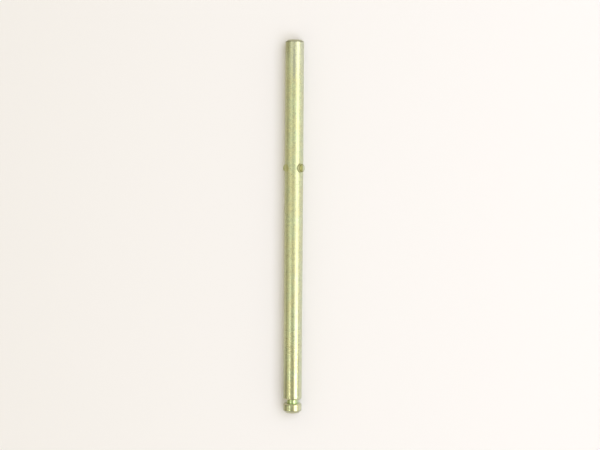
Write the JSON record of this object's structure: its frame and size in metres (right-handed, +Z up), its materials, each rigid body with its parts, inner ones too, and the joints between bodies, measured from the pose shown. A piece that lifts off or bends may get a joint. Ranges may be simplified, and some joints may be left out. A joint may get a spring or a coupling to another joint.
{
  "type": "pivot pin",
  "caption": "Slim round steel pivot pin with chamfered ends, a clip groove near one end and a short cross pin through the shaft, yellow zinc plated.",
  "frame": {"origin": "on the ground below the middle of the shaft", "axes": "+Y along the shaft towards its plain end, +Z up, +X towards the raised end of the cross pin"},
  "size_m": [0.01, 0.1606, 0.0079],
  "materials": {
    "yellow_zinc": "drawn steel, zinc plated and passivated olive yellow, satin",
    "yellow_zinc_dowel": "ground steel, zinc plated and passivated, a deeper olive yellow"
  },
  "bodies": {
    "root": {"pivot_shaft": "yellow_zinc", "cross_pin": "yellow_zinc_dowel"}
  },
  "joints": []
}
